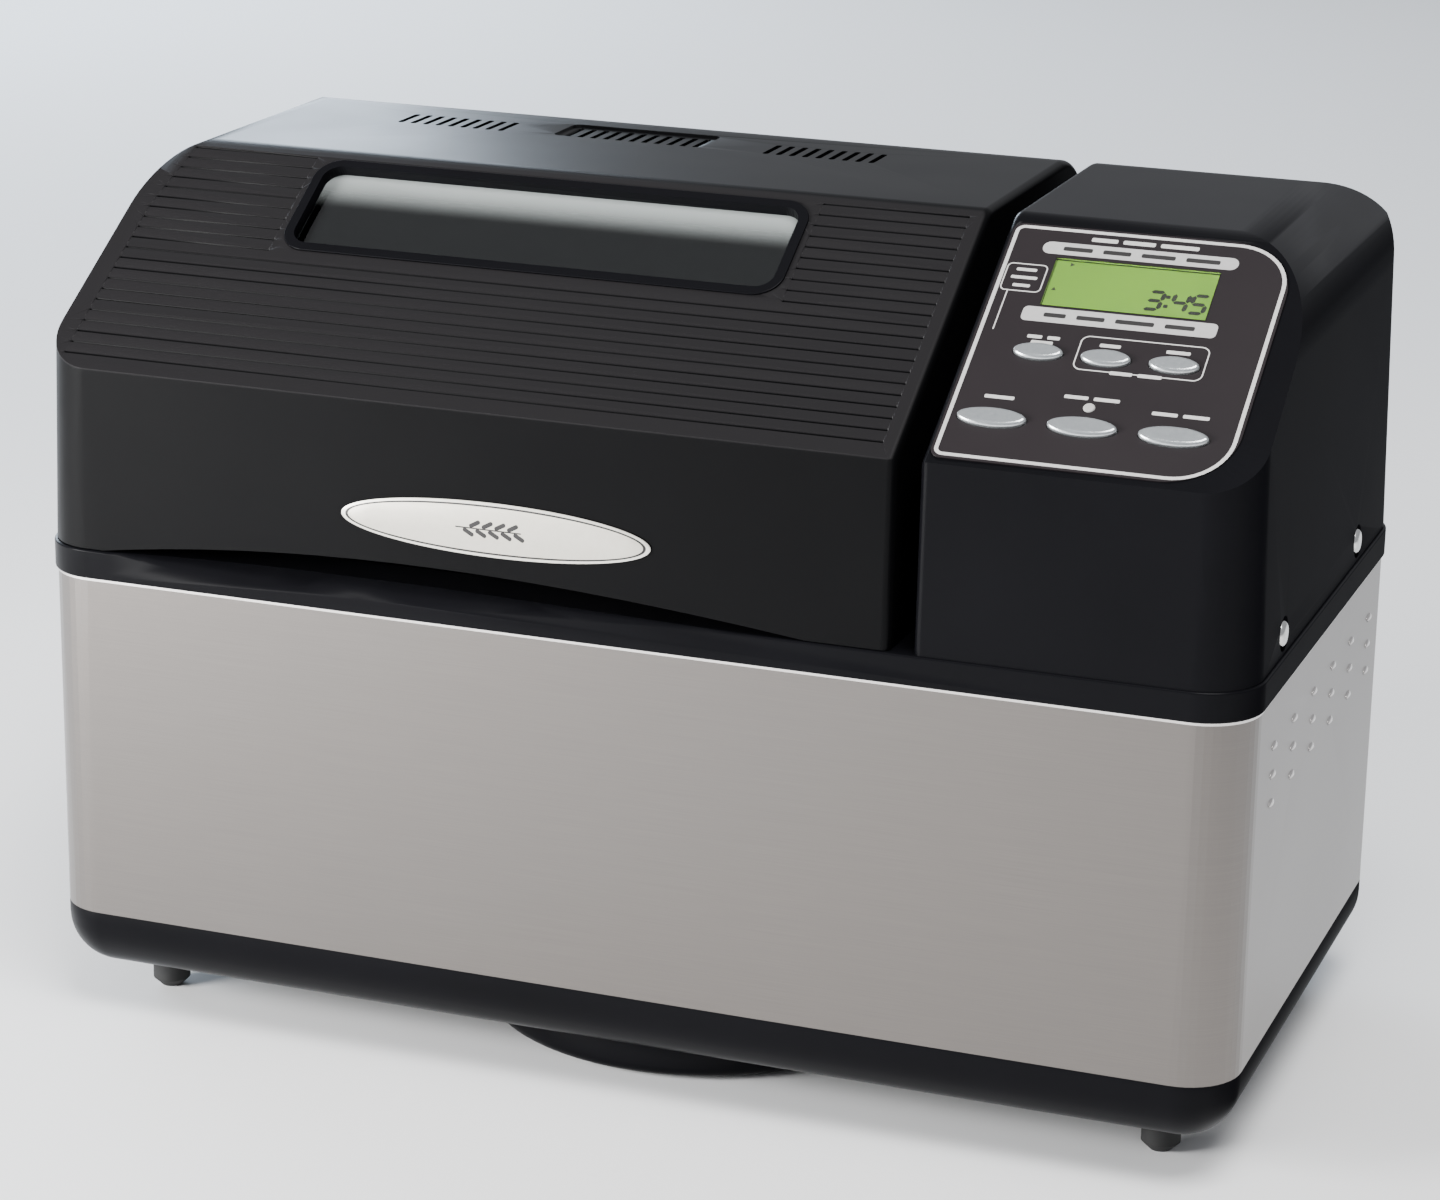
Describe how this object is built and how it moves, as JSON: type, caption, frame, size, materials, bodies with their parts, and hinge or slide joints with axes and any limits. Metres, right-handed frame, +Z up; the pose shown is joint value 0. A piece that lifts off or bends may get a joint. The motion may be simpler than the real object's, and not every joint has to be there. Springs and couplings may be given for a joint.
{
  "type": "bread machine",
  "caption": "Countertop bread machine: brushed steel body, hinged ribbed lid with a window, sloped control panel with display and oval buttons, pan and kneading blades inside.",
  "frame": {"origin": "centre of the footprint, on the surface that the feet stand on", "axes": "+X to the right seen from the front, -Y out of the front face, +Z up"},
  "size_m": [0.435, 0.228, 0.302],
  "materials": {
    "black_plastic": "satin moulded",
    "steel_skin": "fine satin, clear coated",
    "panel_film": "matt printed film",
    "clear_lens": "clear",
    "lcd_green": "backlit display",
    "led_lens": "frosted",
    "button_silver": "silver painted, glossy",
    "badge_metal": "satin champagne",
    "window_glass": "clear tempered",
    "liner_metal": "pressed, satin",
    "rubber": "matt",
    "steel_part": "bright zinc plated",
    "chrome_screw": "polished nickel",
    "nonstick": "grey non-stick coat",
    "cast_alloy": "die cast",
    "bronze": "sintered",
    "nylon_white": "moulded",
    "belt_rubber": "matt",
    "board_green": "printed circuit board",
    "switch_black": "moulded",
    "element_metal": "heat darkened sheath"
  },
  "bodies": {
    "housing": {"base_tray": "black_plastic", "base_cap": "black_plastic", "feet": "rubber", "steel_wrap": "steel_skin", "rim_frame": "black_plastic", "control_housing": "black_plastic", "panel_overlay": "panel_film", "lcd_lens": "clear_lens", "lcd_module": "lcd_green", "status_led": "led_lens", "tact_switches": "switch_black", "control_board": "board_green", "hinge_pins": "steel_part", "oven_chamber": "liner_metal", "heating_element": "element_metal", "element_clips": "steel_part", "temperature_sensor": "steel_part", "pan_clips": "steel_part", "chassis_plate": "steel_part", "shaft_bearings": "bronze", "drive_belt": "belt_rubber", "sync_belt": "belt_rubber", "motor_bracket": "steel_part", "motor_frame": "steel_part", "capacitor": "liner_metal", "power_board": "board_green", "transformer": "switch_black", "cord_gland": "rubber", "side_screws": "chrome_screw", "base_screws": "steel_part"},
    "lid": {"lid_shell": "black_plastic", "window_bezel": "black_plastic", "window_glass_outer": "window_glass", "window_glass_inner": "window_glass", "lid_inner_cover": "liner_metal", "lid_heater": "element_metal", "lid_screws": "steel_part", "badge_plate": "badge_metal"},
    "motor_rotor": {"motor_shaft": "steel_part", "motor_pulley": "nylon_white", "motor_fan": "nylon_white"},
    "drive_left": {"drive_shaft_left": "steel_part", "drive_pulley_left": "nylon_white"},
    "drive_right": {"drive_shaft_right": "steel_part", "drive_pulley_right": "nylon_white"},
    "pan": {"baking_pan": "nonstick", "pan_foot": "cast_alloy", "pan_bearings": "bronze", "handle_ears": "steel_part"},
    "handle": {"pan_handle": "steel_part"},
    "kneader_left": {"pan_shaft_left": "steel_part", "kneading_blade_left": "nonstick"},
    "kneader_right": {"pan_shaft_right": "steel_part", "kneading_blade_right": "nonstick"},
    "crust_key": {"crust_button": "button_silver"},
    "time_key": {"time_button": "button_silver"},
    "cycle_key": {"cycle_button": "button_silver"},
    "timer_key": {"timer_button": "button_silver"},
    "start_key": {"start_button": "button_silver"},
    "select_key": {"select_button": "button_silver"}
  },
  "joints": [
    {"name": "lid_hinge", "type": "hinge", "parent": "housing", "child": "lid", "pos_m": [-0.0598, 0.106, 0.19], "axis": [-1, 0, 0], "range_deg": [0, 85]},
    {"name": "crust_press", "type": "slide", "parent": "housing", "child": "crust_key", "axis": [0, 0.5371, -0.8435], "range_m": [0, 0.0008], "stiffness_N_per_m": 400},
    {"name": "time_press", "type": "slide", "parent": "housing", "child": "time_key", "axis": [0, 0.5371, -0.8435], "range_m": [0, 0.0008], "stiffness_N_per_m": 400},
    {"name": "cycle_press", "type": "slide", "parent": "housing", "child": "cycle_key", "axis": [0, 0.5371, -0.8435], "range_m": [0, 0.0008], "stiffness_N_per_m": 400},
    {"name": "timer_press", "type": "slide", "parent": "housing", "child": "timer_key", "axis": [0, 0.5371, -0.8435], "range_m": [0, 0.0008], "stiffness_N_per_m": 400},
    {"name": "start_press", "type": "slide", "parent": "housing", "child": "start_key", "axis": [0, 0.5371, -0.8435], "range_m": [0, 0.0008], "stiffness_N_per_m": 400},
    {"name": "select_press", "type": "slide", "parent": "housing", "child": "select_key", "axis": [0, 0.5371, -0.8435], "range_m": [0, 0.0008], "stiffness_N_per_m": 400},
    {"name": "motor_spin", "type": "hinge", "parent": "housing", "child": "motor_rotor", "pos_m": [0.149, -0.02, 0.06], "axis": [0, 0, 1], "continuous": true},
    {"name": "drive_right_spin", "type": "hinge", "parent": "housing", "child": "drive_right", "pos_m": [-0.0048, 0, 0.04], "axis": [0, 0, 1], "continuous": true},
    {"name": "drive_left_spin", "type": "hinge", "parent": "housing", "child": "drive_left", "pos_m": [-0.1148, 0, 0.04], "axis": [0, 0, 1], "continuous": true},
    {"name": "pan_lift", "type": "slide", "parent": "housing", "child": "pan", "axis": [0, 0, 1], "range_m": [0, 0.012]},
    {"name": "handle_swing", "type": "hinge", "parent": "pan", "child": "handle", "pos_m": [-0.0598, 0, 0.181], "axis": [1, 0, 0], "range_deg": [0, 180]},
    {"name": "kneader_left_spin", "type": "hinge", "parent": "pan", "child": "kneader_left", "pos_m": [-0.1148, 0, 0.075], "axis": [0, 0, 1], "continuous": true},
    {"name": "kneader_right_spin", "type": "hinge", "parent": "pan", "child": "kneader_right", "pos_m": [-0.0048, 0, 0.075], "axis": [0, 0, 1], "continuous": true}
  ],
  "couplings": [
    {"joint": "drive_right_spin", "follows": "motor_spin", "ratio": 0.2375},
    {"joint": "drive_left_spin", "follows": "motor_spin", "ratio": 0.2375},
    {"joint": "kneader_left_spin", "follows": "motor_spin", "ratio": 0.2375},
    {"joint": "kneader_right_spin", "follows": "motor_spin", "ratio": 0.2375}
  ]
}
